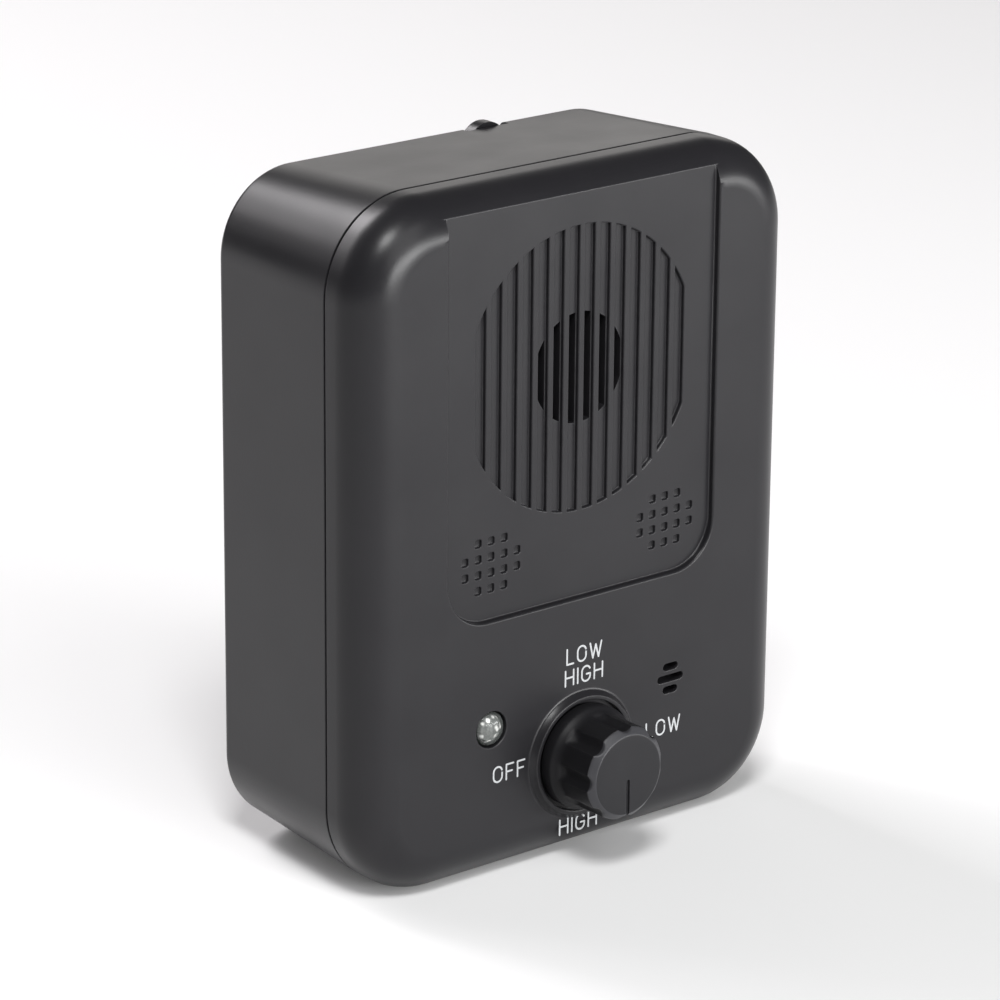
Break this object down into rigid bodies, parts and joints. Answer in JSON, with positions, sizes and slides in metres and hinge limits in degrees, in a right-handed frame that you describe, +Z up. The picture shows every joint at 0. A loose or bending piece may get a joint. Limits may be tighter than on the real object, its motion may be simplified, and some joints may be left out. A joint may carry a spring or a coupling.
{
  "type": "ultrasonic pest repeller",
  "caption": "Wall or table ultrasonic pest repeller: two-part rounded case with slotted speaker grille, turning mode knob, indicator lamp, microphone vents and a hinged battery door.",
  "frame": {"origin": "middle of the flat foot under the case, level with the surface it stands on", "axes": "+X to the right seen from the front, +Y from the face to the rear, +Z up"},
  "size_m": [0.0774, 0.0456, 0.1],
  "materials": {
    "case_plastic": "fine satin texture, charcoal",
    "knob_plastic": "satin black",
    "inner_plastic": "moulded black",
    "foam": "open-cell foam",
    "cone_foil": "dark anodised foil",
    "brass": "plain",
    "circuit_board": "green solder resist",
    "lamp_clear": "clear epoxy",
    "tinned_metal": "bright tinned",
    "screw_steel": "zinc plated",
    "boot_rubber": "soft moulded",
    "ferrite": "pressed ferrite",
    "copper": "enamelled copper wire",
    "capacitor_sleeve": "shrunk sleeve",
    "resistor_body": "baked lacquer",
    "battery_jacket": "printed steel jacket, left plain",
    "lead_red": "insulation",
    "lead_black": "insulation"
  },
  "bodies": {
    "root": {"front_cover": "case_plastic", "rear_cover": "case_plastic", "case_screw_1": "screw_steel", "case_screw_2": "screw_steel", "case_screw_3": "screw_steel", "case_screw_4": "screw_steel", "speaker_basket": "inner_plastic", "speaker_cone": "cone_foil", "speaker_gasket": "foam", "speaker_piezo_disc": "brass", "speaker_screw_1": "screw_steel", "speaker_screw_2": "screw_steel", "speaker_screw_3": "screw_steel", "main_board": "circuit_board", "board_screw_1": "screw_steel", "board_screw_2": "screw_steel", "board_screw_3": "screw_steel", "board_screw_4": "screw_steel", "lamp_lens": "lamp_clear", "lamp_leg_1": "tinned_metal", "lamp_leg_2": "tinned_metal", "microphone_capsule": "tinned_metal", "microphone_boot": "boot_rubber", "control_chip": "inner_plastic", "coil_core": "ferrite", "coil_winding": "copper", "capacitor_1": "capacitor_sleeve", "capacitor_2": "capacitor_sleeve", "capacitor_3": "capacitor_sleeve", "driver_transistor": "inner_plastic", "resistor_1": "resistor_body", "resistor_2": "resistor_body", "resistor_3": "resistor_body", "switch_housing": "tinned_metal", "switch_base": "inner_plastic", "switch_washer": "screw_steel", "switch_nut": "screw_steel", "battery_case": "battery_jacket", "battery_stud_plus": "tinned_metal", "battery_stud_minus": "tinned_metal", "snap_cap": "inner_plastic", "snap_socket": "tinned_metal", "snap_stud": "tinned_metal", "battery_lead_red": "lead_red", "battery_lead_black": "lead_black", "speaker_lead_red": "lead_red", "speaker_lead_black": "lead_black"},
    "knob": {"knob": "knob_plastic", "switch_shaft": "tinned_metal"},
    "door": {"battery_door": "case_plastic", "door_foam": "foam"}
  },
  "joints": [
    {"name": "knob_turn", "type": "hinge", "parent": "root", "child": "knob", "pos_m": [0, -0.01755, 0.0152], "axis": [0, -1, 0], "range_deg": [0, 270]},
    {"name": "battery_door_swing", "type": "hinge", "parent": "root", "child": "door", "pos_m": [0.009, 0.01755, 0.04125], "axis": [-1, 0, 0], "range_deg": [0, 80]}
  ]
}
